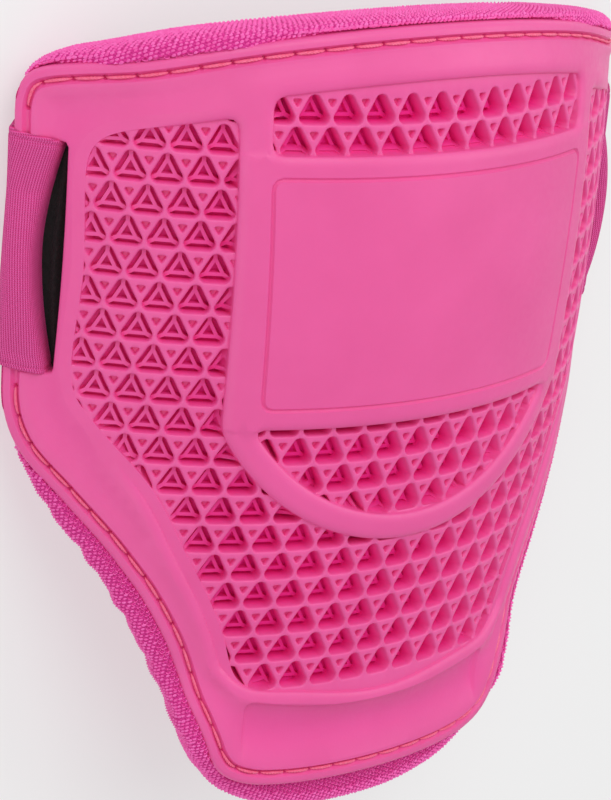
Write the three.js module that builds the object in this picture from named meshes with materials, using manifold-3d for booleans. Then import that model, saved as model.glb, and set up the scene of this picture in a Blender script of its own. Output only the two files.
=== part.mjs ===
// A batter's elbow guard: a moulded shell with a lattice of pockets, a padded liner and an elastic strap.
// The guard lies as it would on a table, nose up, on its wings' rims and on its strap. Millimetres, +Z up.
//
// Shell and liner are laid out flat, u across from the nose line, v up the arm, which is +Y, and h out of the
// surface, and are then bent round the arm.

import * as THREE from 'three';
import { mergeGeometries, mergeVertices } from 'three/addons/utils/BufferGeometryUtils.js';
import Module from 'manifold-3d';

const wasm = await Module();
wasm.setup();

// Bend of the guard: a round section across, and a side profile that falls away towards both ends
const ARC_RADIUS = 82;
const PROFILE = { tilt: -0.056, bow: 0.001, sway: 0.0000096 };
const LONGEST_EDGE = { across: 9, up: 15 };

// Heights out of the lattice's own surface, which is level 0
const FRAME_TOP = 1;
const LIP_TOP = -0.6;
const SHELL_BACK = -4.5;
const POCKET_FLOOR = -3.4;
const GROOVE_FLOOR = 0.4;
const PLATE_FLOOR = 0.5;
const CLEARANCE = 0.3;

// Level of the table below the nose's surface, where the liner's soft rims are pressed flat
const TABLE = -39.5;

// Liner
const LINER_THICKNESS = 9.5;
const LINER_ROUNDING = 2;

// Shell's edge and frame
const EDGE_SPACING = 6;
const TOP_ARCH = { crown: 62, drop: 0.0023 };
const LIP_WIDTH = 4;
const FRAME_SLOPE = 1.8;
const FIELD_BELOW_TOP = 11.2;
const STRIP_BELOW_TOP = 8.8;
const RING_HALF_WIDTH = 40.6;
const STRIP = { half: 35, bottom: 41 };
const PANEL = { top: 37.3, bottom: -2.6, topHalf: 34.8, bottomHalf: 32.9, corner: 2.5, groove: 0.8 };
const RIB_OUTER = { centre: 16.5, radius: 45.5 };
const RIB_INNER = { centre: 14, radius: 38.3, top: -6.3 };
const PLATE = { half: 28, crown: -61, rise: 0.0042, bottom: -69.5 };

// Lattice of triangular pockets: rows of upright triangles, every other row shifted by half a pitch
const LATTICE = { pitch: 6, row: 5.38, top: 50.1, rows: 20, shift: 2, width: 5.2, apex: 0.8, base: -3.9 };

// Strap, its slots and the hook tabs behind them
const SLOT = { inner: 68.3, outer: 72.6, bottom: 0.9, top: 41.7 };
const STRAP = { bottom: 1.4, top: 41.4, thickness: 1.7 };
const TAB = { inner: 66.5, outer: 75, bottom: 2.2, top: 40.6, thickness: 1.5 };
const LINER_NOTCH = { inner: 66.2, outer: 80, bottom: -1.5, top: 44.5 };

// Right half of the shell's edge, below the top arch, from the wing's corner to the nose line
const SHELL_SIDE = [
  { u: 74, v: 50.6 },
  { u: 76.3, v: 47 },
  { u: 76.5, v: 40 },
  { u: 76, v: 0 },
  { u: 74, v: -9 },
  { u: 66, v: -18.6 },
  { u: 55, v: -29.3 },
  { u: 47, v: -39.3 },
  { u: 41.5, v: -49.5 },
  { u: 35.7, v: -64.3 },
  { u: 32.6, v: -70.6 },
  { u: 25.5, v: -75 },
  { u: 12, v: -75.8 },
  { u: 0, v: -76 },
];

// Right half of the liner's edge, which shows past the shell at the top, the lower sides and the bottom
const LINER_SIDE = [
  { u: 0, v: 63.6 },
  { u: 20, v: 62.8 },
  { u: 36, v: 60.9 },
  { u: 50, v: 58.2 },
  { u: 64, v: 54.9 },
  { u: 71.5, v: 52.4 },
  { u: 75.3, v: 48 },
  { u: 75.6, v: 30 },
  { u: 75.2, v: -6 },
  { u: 73.6, v: -13 },
  { u: 66.6, v: -22.8 },
  { u: 56, v: -35.4 },
  { u: 48.3, v: -45.8 },
  { u: 41.8, v: -59.4 },
  { u: 36.8, v: -71 },
  { u: 33.4, v: -77.2 },
  { u: 26, v: -80.4 },
  { u: 12, v: -80.9 },
  { u: 0, v: -81 },
];

// Right half of the recessed lattice field, below its arched top
const FIELD_SIDE = [
  { u: 62, v: 42.2 },
  { u: 64.6, v: 39.5 },
  { u: 64.6, v: 20 },
  { u: 64.6, v: -1.2 },
  { u: 60.5, v: -6.5 },
  { u: 49.4, v: -17.6 },
  { u: 41.3, v: -30.8 },
  { u: 36.9, v: -38 },
  { u: 33.4, v: -45.8 },
  { u: 30.2, v: -52.8 },
  { u: 27.8, v: -55.1 },
  { u: 17.7, v: -57 },
  { u: 0, v: -59.2 },
];

// The strap's way round: along the table and up to the wing's rim, then over the bar of the slot as u and h
const STRAP_LAID = [
  { x: 0, rise: 0 },
  { x: 26, rise: 0 },
  { x: 46, rise: 0 },
  { x: 54, rise: 0 },
  { x: 58.6, rise: 0.35 },
];
const STRAP_LIFT = { from: 56, to: 59.2 };
const STRAP_BAR = [
  { u: 77.8, h: -5 },
  { u: 77.8, h: -2 },
  { u: 77.4, h: 0.3 },
  { u: 76, h: 0.8 },
  { u: 73, h: 0.8 },
  { u: 71.7, h: 0.3 },
  { u: 71.3, h: -1.2 },
  { u: 71.3, h: SHELL_BACK },
];

const topArch = (u) => TOP_ARCH.crown - TOP_ARCH.drop * u * u;

const profile = (v) => PROFILE.tilt * v + PROFILE.bow * v * v + PROFILE.sway * v ** 3;

// Place of a flat point (u, v, h) on the bent guard
function bent(u, v, h) {
  const angle = u / ARC_RADIUS;
  const radius = ARC_RADIUS + h;
  return new THREE.Vector3(radius * Math.sin(angle), v, radius * Math.cos(angle) - ARC_RADIUS - profile(v));
}

// Points of the top arch, lowered by some depth, from the nose line out to the given u
function archPoints(depth, reach, count = 4) {
  return Array.from({ length: count }, (_, i) => {
    const u = (reach * i) / count;
    return { u, v: topArch(u) - depth };
  });
}

// Closed outline from its right half, smooth through the half's points
function mirroredOutline(half, spacing) {
  const right = half.map(({ u, v }) => new THREE.Vector3(u, v, 0));
  const left = right.slice(1, -1).reverse().map((point) => new THREE.Vector3(-point.x, point.y, 0));
  const curve = new THREE.CatmullRomCurve3([...right, ...left], true, 'centripetal');
  const count = 2 * Math.round(curve.getLength() / spacing / 2);
  const points = curve.getSpacedPoints(count).slice(0, -1);
  return points.map((point) => new THREE.Vector2(point.x, point.y));
}

// Outline moved outwards by a distance, or inwards where it is negative
function offsetOutline(points, distance) {
  const sign = THREE.ShapeUtils.isClockWise(points) ? -1 : 1;
  return points.map((point, i) => {
    const along = points[(i + 1) % points.length].clone().sub(points.at(i - 1)).normalize();
    return new THREE.Vector2(point.x + sign * along.y * distance, point.y - sign * along.x * distance);
  });
}

// Region that follows the top arch at some depth below it, with straight sides and bottom
function archedOutline(depth, half, bottom) {
  const arch = archPoints(depth, half, 5).slice(1);
  const edge = { u: half, v: topArch(half) - depth };
  const right = [{ u: 0, v: topArch(0) - depth }, ...arch, edge, { u: half, v: bottom }];
  const left = right.slice(1).reverse().map(({ u, v }) => ({ u: -u, v }));
  return [...right, ...left].map(({ u, v }) => new THREE.Vector2(u, v));
}

// Region closed below by an arc round a point of the nose line, from the level of its top
function arcedOutline({ centre, radius }, half, top, divisions = 14) {
  const reach = Math.asin(half / radius);
  const arc = Array.from({ length: divisions + 1 }, (_, i) => {
    const angle = reach - (2 * reach * i) / divisions;
    return new THREE.Vector2(radius * Math.sin(angle), centre - radius * Math.cos(angle));
  });
  return [new THREE.Vector2(-half, top), new THREE.Vector2(half, top), ...arc];
}

function panelOutline(inset) {
  const { corner } = PANEL;
  const top = PANEL.top - inset;
  const bottom = PANEL.bottom + inset;
  const topHalf = PANEL.topHalf - inset;
  const bottomHalf = PANEL.bottomHalf - inset;
  const shape = new THREE.Shape();
  shape.moveTo(-bottomHalf + corner, bottom);
  shape.lineTo(bottomHalf - corner, bottom);
  shape.quadraticCurveTo(bottomHalf, bottom, bottomHalf, bottom + corner);
  shape.lineTo(topHalf, top - corner);
  shape.quadraticCurveTo(topHalf, top, topHalf - corner, top);
  shape.lineTo(-topHalf + corner, top);
  shape.quadraticCurveTo(-topHalf, top, -topHalf, top - corner);
  shape.lineTo(-bottomHalf, bottom + corner);
  shape.quadraticCurveTo(-bottomHalf, bottom, -bottomHalf + corner, bottom);
  return shape.getPoints(3);
}

function plateOutline() {
  const divisions = 8;
  const top = Array.from({ length: divisions + 1 }, (_, i) => {
    const u = PLATE.half * (1 - (2 * i) / divisions);
    return new THREE.Vector2(u, PLATE.crown + PLATE.rise * u * u);
  });
  return [...top, new THREE.Vector2(-PLATE.half, PLATE.bottom), new THREE.Vector2(PLATE.half, PLATE.bottom)];
}

// Rectangle in one wing, on the left for side -1 and on the right for side 1
const sideRectangle = (side, { inner, outer, bottom, top }) => [
  new THREE.Vector2(side * inner, bottom),
  new THREE.Vector2(side * outer, bottom),
  new THREE.Vector2(side * outer, top),
  new THREE.Vector2(side * inner, top),
];

function contains(outline, u, v) {
  let inside = false;
  outline.forEach((a, i) => {
    const b = outline.at(i - 1);
    const crosses = a.y > v !== b.y > v;
    if (crosses && u < a.x + ((v - a.y) * (b.x - a.x)) / (b.y - a.y)) inside = !inside;
  });
  return inside;
}

function extruded(outline, low, high) {
  const shape = new THREE.Shape(outline);
  const geometry = new THREE.ExtrudeGeometry(shape, { depth: high - low, bevelEnabled: false });
  return geometry.translate(0, 0, low);
}

// Slab whose edge is rounded or sloped by a number of steps
function edgedSlab(outline, low, high, edge, rise, steps) {
  const geometry = new THREE.ExtrudeGeometry(new THREE.Shape(outline), {
    depth: high - low - 2 * rise,
    bevelThickness: rise,
    bevelSize: edge,
    bevelOffset: -edge,
    bevelSegments: steps,
  });
  return geometry.translate(0, 0, low + rise);
}

// Closed solid for joining and cutting
function solid(geometry) {
  geometry.deleteAttribute('normal');
  geometry.deleteAttribute('uv');
  const merged = mergeVertices(geometry, 1e-4);
  return new wasm.Manifold(new wasm.Mesh({
    numProp: 3,
    vertProperties: new Float32Array(merged.attributes.position.array),
    triVerts: new Uint32Array(merged.index.array),
  }));
}

const prism = (outline, low, high) => solid(extruded(outline, low, high));

// Points and triangles of a solid
function meshOf(body) {
  const { vertProperties, triVerts } = body.getMesh();
  const points = [];
  for (let i = 0; i < vertProperties.length; i += 3) {
    points.push(new THREE.Vector3().fromArray(vertProperties, i));
  }
  const triangles = [];
  for (let i = 0; i < triVerts.length; i += 3) triangles.push(Array.from(triVerts.slice(i, i + 3)));
  return { points, triangles };
}

// Halves each edge that is too long to follow the bend, until none is left
function refined({ points, triangles }) {
  const middles = new Map();
  const excess = (a, b) => {
    const span = points[a].clone().sub(points[b]);
    return Math.max(Math.abs(span.x) / LONGEST_EDGE.across, Math.abs(span.y) / LONGEST_EDGE.up);
  };
  const middleOf = (a, b) => {
    const key = `${Math.min(a, b)} ${Math.max(a, b)}`;
    if (!middles.has(key)) middles.set(key, points.push(points[a].clone().lerp(points[b], 0.5)) - 1);
    return middles.get(key);
  };
  const waiting = [...triangles];
  const finished = [];
  while (waiting.length > 0) {
    const triangle = waiting.pop();
    const turns = [0, 1, 2].map((i) => [0, 1, 2].map((k) => triangle[(i + k) % 3]));
    turns.sort((one, other) => excess(other[0], other[1]) - excess(one[0], one[1]));
    const [a, b, c] = turns[0];
    if (excess(a, b) > 1) {
      const middle = middleOf(a, b);
      waiting.push([a, middle, c], [middle, b, c]);
    } else {
      finished.push(triangle);
    }
  }
  return { points, triangles: finished };
}

function geometryOf({ points, triangles }) {
  return new THREE.BufferGeometry().setFromPoints(points).setIndex(triangles.flat());
}

// Bends a flat solid round the arm
function bentGeometry(body) {
  const { points, triangles } = refined(meshOf(body));
  return geometryOf({ points: points.map(({ x, y, z }) => bent(x, y, z)), triangles });
}

// Triangular pockets whose centres lie in a region, cut off at its edge
function pocketsIn(outline, low, high) {
  const { pitch, row, top, rows, shift, width, apex, base } = LATTICE;
  const reach = 12;
  const pockets = [];
  for (let r = 0; r < rows; r += 1) {
    const v = top - r * row;
    for (let c = -reach; c <= reach; c += 1) {
      const u = c * pitch + shift - (r % 2) * (pitch / 2);
      const corners = [[u, v + apex], [u - width / 2, v + base], [u + width / 2, v + base]];
      const triangle = corners.map(([x, y]) => new THREE.Vector2(x, y));
      if (contains(outline, u, v + base / 2)) pockets.push(extruded(triangle, POCKET_FLOOR, high));
    }
  }
  return solid(mergeGeometries(pockets)).intersect(prism(outline, low, high));
}

function shellGeometry() {
  const edge = mirroredOutline([...archPoints(0, 74), ...SHELL_SIDE], EDGE_SPACING);
  const frame = offsetOutline(edge, -LIP_WIDTH);
  const fieldEdge = mirroredOutline([...archPoints(FIELD_BELOW_TOP, 62), ...FIELD_SIDE], EDGE_SPACING);
  const ring = arcedOutline(RIB_OUTER, RING_HALF_WIDTH, TOP_ARCH.crown);
  const strip = archedOutline(STRIP_BELOW_TOP, STRIP.half, STRIP.bottom);
  const cradleHalf = Math.sqrt(RIB_INNER.radius ** 2 - (RIB_INNER.centre - RIB_INNER.top) ** 2);
  const cradle = arcedOutline(RIB_INNER, cradleHalf, RIB_INNER.top).slice(2);
  const above = FRAME_TOP + 1;
  const slope = FRAME_TOP - LIP_TOP;

  // The frame rises from the lip by a slope that is half buried in the slab
  let shell = prism(edge, SHELL_BACK, LIP_TOP);
  shell = shell.add(solid(edgedSlab(frame, LIP_TOP - slope - 0.5, FRAME_TOP, FRAME_SLOPE, slope, 1)));

  // Recesses of the lattice, and its pockets
  const field = prism(fieldEdge, 0, above).subtract(prism(ring, 0, above));
  shell = shell.subtract(field).subtract(prism(strip, 0, above)).subtract(prism(cradle, 0, above));
  const ringCore = prism(ring, SHELL_BACK, above);
  shell = shell.subtract(pocketsIn(fieldEdge, SHELL_BACK, above).subtract(ringCore));
  shell = shell.subtract(pocketsIn(strip, SHELL_BACK, above));
  shell = shell.subtract(pocketsIn(cradle, SHELL_BACK, above));

  // Groove round the centre panel, the plate under the lattice and the slots
  const groove = prism(panelOutline(0), GROOVE_FLOOR, above).subtract(
    prism(panelOutline(PANEL.groove), GROOVE_FLOOR, above),
  );
  shell = shell.subtract(groove).subtract(prism(plateOutline(), PLATE_FLOOR, above));
  for (const side of [-1, 1]) {
    shell = shell.subtract(prism(sideRectangle(side, SLOT), SHELL_BACK - 1, above));
  }
  return bentGeometry(shell);
}

function linerGeometry() {
  const outline = mirroredOutline(LINER_SIDE, EDGE_SPACING);
  const front = SHELL_BACK - CLEARANCE;
  const back = front - LINER_THICKNESS;
  let liner = solid(edgedSlab(outline, back, front, LINER_ROUNDING, LINER_ROUNDING, 2));
  for (const side of [-1, 1]) {
    const notch = sideRectangle(side, LINER_NOTCH);
    liner = liner.subtract(prism(notch, back - 1, front + 1));
  }
  return geometryOf(meshOf(solid(bentGeometry(liner)).trimByPlane([0, 0, 1], TABLE)));
}

// The strap's centre line across the guard, x and height, from one slot along the table to the other
function strapLine() {
  const level = TABLE + STRAP.thickness / 2;
  const laid = STRAP_LAID.map(({ x, rise }) => new THREE.Vector3(x, level + rise, 0));
  const bar = STRAP_BAR.map(({ u, h }) => bent(u, 0, h)).map(({ x, z }) => new THREE.Vector3(x, z, 0));
  const right = [...laid, ...bar];
  const left = right.slice(1).reverse().map((point) => new THREE.Vector3(-point.x, point.y, 0));
  const curve = new THREE.CatmullRomCurve3([...left, ...right], false, 'centripetal');
  const line = curve.getPoints(2 * (left.length + right.length - 1));
  for (const point of line) point.y = Math.max(point.y, level);
  return line;
}

function strapGeometry() {
  const line = strapLine();
  const sideOf = (sign) => line.map((point, i) => {
    const before = line[Math.max(i - 1, 0)];
    const after = line[Math.min(i + 1, line.length - 1)];
    const along = after.clone().sub(before).normalize();
    const offset = (sign * STRAP.thickness) / 2;
    return new THREE.Vector2(point.x - along.y * offset, point.y + along.x * offset);
  });
  const shape = new THREE.Shape([...sideOf(1), ...sideOf(-1).reverse()]);
  const geometry = new THREE.ExtrudeGeometry(shape, {
    depth: STRAP.top - STRAP.bottom,
    steps: 3,
    bevelEnabled: false,
  });
  geometry.deleteAttribute('normal');
  geometry.deleteAttribute('uv');
  geometry.rotateX(Math.PI / 2).translate(0, STRAP.top, 0);

  // Over the bars the strap follows the guard's side profile
  const places = geometry.attributes.position;
  for (let i = 0; i < places.count; i += 1) {
    const share = THREE.MathUtils.smoothstep(Math.abs(places.getX(i)), STRAP_LIFT.from, STRAP_LIFT.to);
    places.setZ(i, places.getZ(i) - share * profile(places.getY(i)));
  }
  return mergeVertices(geometry, 1e-4);
}

function tabGeometry(side) {
  const front = SHELL_BACK - CLEARANCE;
  return bentGeometry(prism(sideRectangle(side, TAB), front - TAB.thickness, front));
}

function piece(name, geometry, color, roughness) {
  const material = new THREE.MeshStandardMaterial({ color, roughness, metalness: 0 });
  const mesh = new THREE.Mesh(geometry, material);
  mesh.name = name;
  return mesh;
}

const guard = new THREE.Group();
guard.add(
  piece('shell', shellGeometry(), 0xe2408f, 0.5),
  piece('liner', linerGeometry(), 0xd83a94, 0.85),
  piece('strap', strapGeometry(), 0xe0529b, 0.8),
  piece('hook_tab_left', tabGeometry(-1), 0x1b191c, 0.9),
  piece('hook_tab_right', tabGeometry(1), 0x1b191c, 0.9),
);

// The origin is under the middle of the whole guard, on the table
const box = new THREE.Box3().setFromObject(guard);
const middle = box.getCenter(new THREE.Vector3());
guard.position.set(-middle.x, -middle.y, -box.min.z);

export default guard;
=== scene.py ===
# The looks of a batter's elbow guard that lies nose up on a table.
#
# Shapes are laid out flat in millimetres, u across from the nose line, v up the arm and h out of the
# lattice's surface, and are then bent round the arm into the frame's metres.

import math
from types import SimpleNamespace as Sizes

import bpy
import numpy as np
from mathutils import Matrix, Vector
from mathutils.bvhtree import BVHTree
from mathutils.geometry import delaunay_2d_cdt
from mathutils.kdtree import KDTree


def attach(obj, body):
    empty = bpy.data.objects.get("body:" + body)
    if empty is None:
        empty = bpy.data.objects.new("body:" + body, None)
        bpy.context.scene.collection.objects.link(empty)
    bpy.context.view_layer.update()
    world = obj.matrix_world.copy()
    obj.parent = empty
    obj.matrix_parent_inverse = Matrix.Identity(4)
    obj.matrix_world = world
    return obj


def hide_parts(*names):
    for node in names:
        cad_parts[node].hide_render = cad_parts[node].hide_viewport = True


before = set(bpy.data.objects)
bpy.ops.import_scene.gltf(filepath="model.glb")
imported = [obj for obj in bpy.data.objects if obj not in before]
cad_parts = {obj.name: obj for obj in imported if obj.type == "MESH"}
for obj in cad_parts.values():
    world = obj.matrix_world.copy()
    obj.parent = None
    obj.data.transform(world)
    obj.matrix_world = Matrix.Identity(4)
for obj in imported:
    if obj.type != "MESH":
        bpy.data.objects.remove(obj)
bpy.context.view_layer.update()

# Bend of the guard, and its place in the frame. The lower end is flattened over a band of v
ARC_RADIUS = 82
PROFILE = Sizes(tilt=-0.056, bow=0.001, sway=0.0000096)
FLATTENED = Sizes(share=0.002, band=(50, 68))
TABLE = -39.5
V_MIDDLE = -8.7

# Camera at the photograph's view: its place in metres, turn in degrees and lens in millimetres
CAMERA = Sizes(place=(-0.318476, 0.159597, 0.382278), turn=(-22.8461, -38.2618, 6.8778), lens=128.72)

# Light from all round, and lamps as (name, direction, distance, size, power), in metres and watts
WORLD_LIGHT = 0.46
LIGHTS = [
    ("key", (-0.15, 0.7, 0.65), 1.0, 0.7, 4.1),
    ("left", (-0.75, -0.25, 0.65), 1.1, 0.9, 2.3),
    ("right", (0.7, 0.28, 0.62), 1.0, 0.6, 2.2),
]

# Heights of the shell. The frame sinks towards the wings, the flange dips between the lip and the frame, and
# the middle of the top band bows up instead, each over bands of u across and v up
FRAME_TOP = 1.0
LIP_TOP = 0.5
SHELL_BACK = -4.5
RIDGE_AWAY = 2.1
WING = Sizes(top=0.05, across=(44, 60), up=(-30, -10))
FLANGE = Sizes(dip=1.15, full_width=10)
TOP_BAND = Sizes(bow=0.7, across=(36, 54), up=(30, 46))
# Painted shade in the flange's hollow: the share of its depth below the lip's top that darkens the shell's
# colour, and the depth where that stops growing
HOLLOW_SHADE = Sizes(tint=0.55, deepest=1.2)

# Border of the frame round the lattice, and the plain strip inside it along the lower sides
BORDER = Sizes(width=1.8, foot=0.2, draft=0.12, shallow=0.35, shallow_to=1.3)
MARGIN = Sizes(width=2, upper=(8, 16), lower=(-56, -50))

# Shell's outline and frame. A rim turns down as (share of its radius outwards, share downwards)
TOP_ARCH = Sizes(crown=62, drop=0.0023)
EDGE_ROUNDING = 0.9
SLOT_ROUNDING = 0.6
RIM_TURN = [(0.5, 0.13), (0.83, 0.45), (1, 1)]
STITCH_GROOVE = Sizes(half=0.8, depth=0.85, ledge=0.6, inset_top=2.3, inset_low=2.5, band=(-45, 0))
FIELD_BELOW_TOP = 11.2
STRIP_BELOW_TOP = 8.8
RING = Sizes(half=40.6, low_half=39.2, split=20)
STRIP = Sizes(half=35, bottom=41)
SLAB = Sizes(bottom=-6.3, top=41, rise=0.16, slope=0.3, inner=33)
PANEL = Sizes(top=37.3, bottom=-2.6, top_half=34.8, bottom_half=32.9, groove=0.42, depth=0.42)
RIB_OUTER = Sizes(centre=16.5, radius=45.5)
RIB_INNER = Sizes(centre=16.3, radius=40.6)
PLATE = Sizes(half=28, crown=-61, rise=0.0042, bottom=-69.5, beyond=3, fade=5, depth=0.7)
SLOT = Sizes(inner=68.3, outer=74.5, bottom=0.9, top=40.2)
RECESSES = ("field", "strip", "cradle")
SLOTS = ("slot_left", "slot_right")

# Right halves of the outlines as (u, v), downwards to the nose line
SHELL_SIDE = [
    (74.7, 51), (77, 47.4), (77.4, 40), (77, 2), (75.9, -7), (72.6, -13.4), (64.8, -20.8), (56.9, -28.4),
    (52.8, -33), (48.7, -38.1), (43.4, -46.6), (41.2, -51.4), (38.9, -57.7), (37.1, -61.6), (35.4, -65.4),
    (33.8, -68.9), (31.2, -72), (26.5, -74.2), (18.6, -75.4), (0, -76),
]
FIELD_SIDE = [
    (62, 42.2), (64.6, 39.5), (64.6, 20), (64.6, -1.2), (60.5, -6.5), (49.4, -17.6), (41.3, -30.8),
    (36.9, -38), (33.1, -46), (30.7, -52.6), (28.4, -55.2), (17.7, -57), (0, -59.2),
]
LINER_SIDE = [
    (0, 62.6), (20, 61.9), (36, 60.4), (50, 58.3), (64, 55), (72, 53), (76.2, 49.6), (75.8, 30), (75.4, -6),
    (74.6, -12), (72.8, -16.2), (66.8, -24.5), (59.1, -32.8), (52.1, -42), (46, -51.7), (41.4, -61.7),
    (39.4, -66.6), (36, -71.4), (31.2, -76.4), (23, -80.2), (15.4, -81.8), (8.4, -82.7), (0, -82.9),
]

# Lattice: rows of upright rounded triangles, every other row shifted by half a pitch, and small dimples
# pointing down between them
LATTICE = Sizes(pitch=6, row=5.38, top=50.1, rows=20, shift=2)
POCKET = Sizes(core=[(0, -0.15), (-1.55, -2.9), (1.55, -2.9)], rounding=1.12)
DIMPLE = Sizes(core=[(-0.5, -0.06), (0, -0.86), (0.5, -0.06)], rounding=0.22)

# Rim of a pocket and section of a dimple, as (distance inside the outline, height)
POCKET_RIM = [(-0.3, 0), (-0.17, -0.05), (-0.06, -0.16), (0.05, -0.38)]
DIMPLE_SECTION = [(-0.26, 0), (-0.14, -0.06), (-0.02, -0.22), (0.15, -1.05)]

# Inside a pocket: the foot of its wall, and a boss with an arm to each corner and a hole in its middle. The
# boss lies deeper near the nose line, as (distance from it, depth)
POCKET_FOOT = 0.1
POCKET_FLOOR = -3.9
BOSS = Sizes(height=1.5, beyond=0.4, arm=0.46, arm_depth=1.15, draft=0.12)
BOSS_DEPTH = [(24, 2.9), (36, 2.3), (50, 1.25), (62, 0.85)]
BOSS_HOLE = Sizes(inside=1.44, draft=0.1)

# Stitches along the lip, none of them under the strap, and the needle holes between them
STITCH = Sizes(pitch=5.25, length=4.9, height=-0.34, rise=0.46, plies=3, twist=0.13, ply=0.16, turns=2.8)
STITCH_GAP = Sizes(beyond=66, bottom=-1.5, top=43.5)
NEEDLE_HOLE = Sizes(radius=0.55, depth=0.8)

# Liner: a pad with a rolled edge, cut back behind the strap, and its sewn channels on the arm's side. Its
# front rises beside the shell's edge, less so at the bottom, and leans out at the top
LINER = Sizes(front=-4.75, back=-14.3, roll=3.2, squareness=0.45, inside=4, spacing=1.5, swell=0.8)
LINER_WAVE = Sizes(height=0.35, length=5, second=1.7, upper=(10, 30), lower=(-76, -68))
LINER_RISE = Sizes(height=5.1, ramp=(-1.5, -1, -0.5, -0.1), low_share=0.62, low=(66, 76))
LINER_LEAN = Sizes(reach=1.4, band=(46, 52))
LINER_NOTCH = Sizes(inner=66.2, bottom=-1.5, top=44.5)
CHANNEL = Sizes(places=[-38, -19, 0, 19, 38], clear=9, sunk=0.9)
YARN = Sizes(
    along=1.0, across=0.66, step=0.36, lean=22, slant=8, reach=20, length=0.94, width=0.58, height=0.32,
    turn_spread=5, size_spread=0.06,
)

# Metres above the table: the pad is held and carries no yarns below one level, and is pressed flat at another
ON_TABLE = 0.0004
PRESSED = 0.00002

# Strap: along the table as (x, rise), then over the bar of the slot as (u, h). Near its ends it bows, bulges
# and drops, the drop as (distance from the end, drop of the upper edge)
STRAP = Sizes(bottom=0.4, top=42.5, thickness=1.4)
STRAP_HEM = Sizes(inset=1.0, depth=0.2, width=0.3)
STRAP_LAID = [(0, 0), (26, 0), (46, 0), (54, 0), (58.6, 0.35)]
STRAP_BAR = [
    (77.9, -5), (77.9, -2), (77.6, 0.2), (76.8, 0.75), (75.5, 0.7), (74.3, 0.3), (73.75, -1), (73.7, -4.4),
]
STRAP_LIFT = (56, 59.2)
STRAP_BOW = Sizes(reach=3.7, power=1.8, fades=(4.6, 7.5), lift=1.9, lifts=(3, 12))
STRAP_PUFF = Sizes(height=1.35, at=18, half=13, least=-0.3, rises=(1.5, 4.5), falls=(6.5, 10.5))
STRAP_DROP = [(3, 2.3), (12, 0), (20, 1.3)]
WEBBING = Sizes(rib=0.44, loop=0.38)
TAB = Sizes(inner=66.6, outer=74.8, bottom=0.6, top=40.6, front=-4.85, thickness=1.4, rough=0.35)
TAB_FOLD = Sizes(height=1.5, at=70.4, width=0.8, power=1.6)
TAB_GRID = (110, 32)

# Edges that turn by more than this, in degrees, are shaded sharp
SHARP_EDGE = 40


# Flat shapes

def smooth(value, low, high):
    share = np.clip((value - low) / (high - low), 0, 1)
    return share * share * (3 - 2 * share)


def profile(v):
    return PROFILE.tilt * v + PROFILE.bow * v ** 2 + PROFILE.sway * v ** 3


def bend(flat):
    """Frame coordinates in metres of flat points (u, v, h)."""
    u, v, h = np.moveaxis(np.asarray(flat, float), -1, 0)
    radius = ARC_RADIUS + h
    x = radius * np.sin(u / ARC_RADIUS)
    z = radius * np.cos(u / ARC_RADIUS) - ARC_RADIUS - profile(v)
    z += FLATTENED.share * u ** 2 * smooth(-v, *FLATTENED.band)
    return 0.001 * np.stack([x, v - V_MIDDLE, z - TABLE], axis=-1)


def lifted(points, h):
    """Flat points (u, v) with a height each."""
    return np.column_stack([points, np.broadcast_to(h, len(points))])


def top_arch(u, depth=0):
    return TOP_ARCH.crown - TOP_ARCH.drop * u * u - depth


def arch_points(depth, reach, count=4):
    return [(u, top_arch(u, depth)) for u in np.linspace(0, reach, count, endpoint=False)]


def mirrored(half):
    """Closed outline from its right half."""
    return list(half) + [(-u, v) for u, v in reversed(half[1:-1])]


def unit(vectors):
    """Vectors with their lengths made one."""
    return vectors / np.linalg.norm(vectors, axis=1)[:, None]


def distances_along(chain):
    return np.concatenate([[0], np.cumsum(np.linalg.norm(np.diff(chain, axis=0), axis=1))])


def resampled(chain, spacing):
    """A chain of points at even distances, both of its ends kept."""
    reach = distances_along(chain)
    stations = np.linspace(0, reach[-1], round(reach[-1] / spacing) + 1)
    return np.column_stack([np.interp(stations, reach, chain[:, k]) for k in range(chain.shape[1])])


def evenly(loop, spacing):
    """A closed outline with its points at even distances."""
    return resampled(np.vstack([loop, loop[:1]]), spacing)[:-1]


def spline(before, start, end, after, steps):
    """Points of centripetal spline segments between arrays of starts and ends, shape (segments, steps, 2)."""
    spans = (end - start, start - before, after - end)
    gap, gap_before, gap_after = (np.linalg.norm(span, axis=1)[:, None] ** 0.5 for span in spans)
    leave = gap * ((start - before) / gap_before - (end - before) / (gap_before + gap) + (end - start) / gap)
    arrive = gap * ((end - start) / gap - (after - start) / (gap + gap_after) + (after - end) / gap_after)
    t = np.linspace(0, 1, steps, endpoint=False)[None, :, None]
    return (
        (2 * t ** 3 - 3 * t ** 2 + 1) * start[:, None]
        + (t ** 3 - 2 * t ** 2 + t) * leave[:, None]
        + (3 * t ** 2 - 2 * t ** 3) * end[:, None]
        + (t ** 3 - t ** 2) * arrive[:, None]
    )


def smooth_loop(points, spacing):
    """Closed spline through some points."""
    p = np.array(points, float)
    curve = spline(np.roll(p, 1, 0), p, np.roll(p, -1, 0), np.roll(p, -2, 0), 40)
    return evenly(curve.reshape(-1, 2), spacing)


def smooth_chain(points, spacing):
    """Open spline through some points."""
    p = np.array(points, float)
    p = np.vstack([2 * p[0] - p[1], p, 2 * p[-1] - p[-2]])
    curve = spline(p[:-3], p[1:-2], p[2:-1], p[3:], 40).reshape(-1, 2)
    return resampled(np.vstack([curve, p[-2]]), spacing)


def softened(loop, spacing, radius):
    """An outline with its corners rounded, by averaging along it."""
    fine = evenly(np.array(loop, float), spacing / 4)
    reach = max(1, round(4 * radius / spacing))
    mean = sum(np.roll(fine, k, 0) for k in range(-reach, reach + 1)) / (2 * reach + 1)
    return evenly(mean, spacing)


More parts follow.
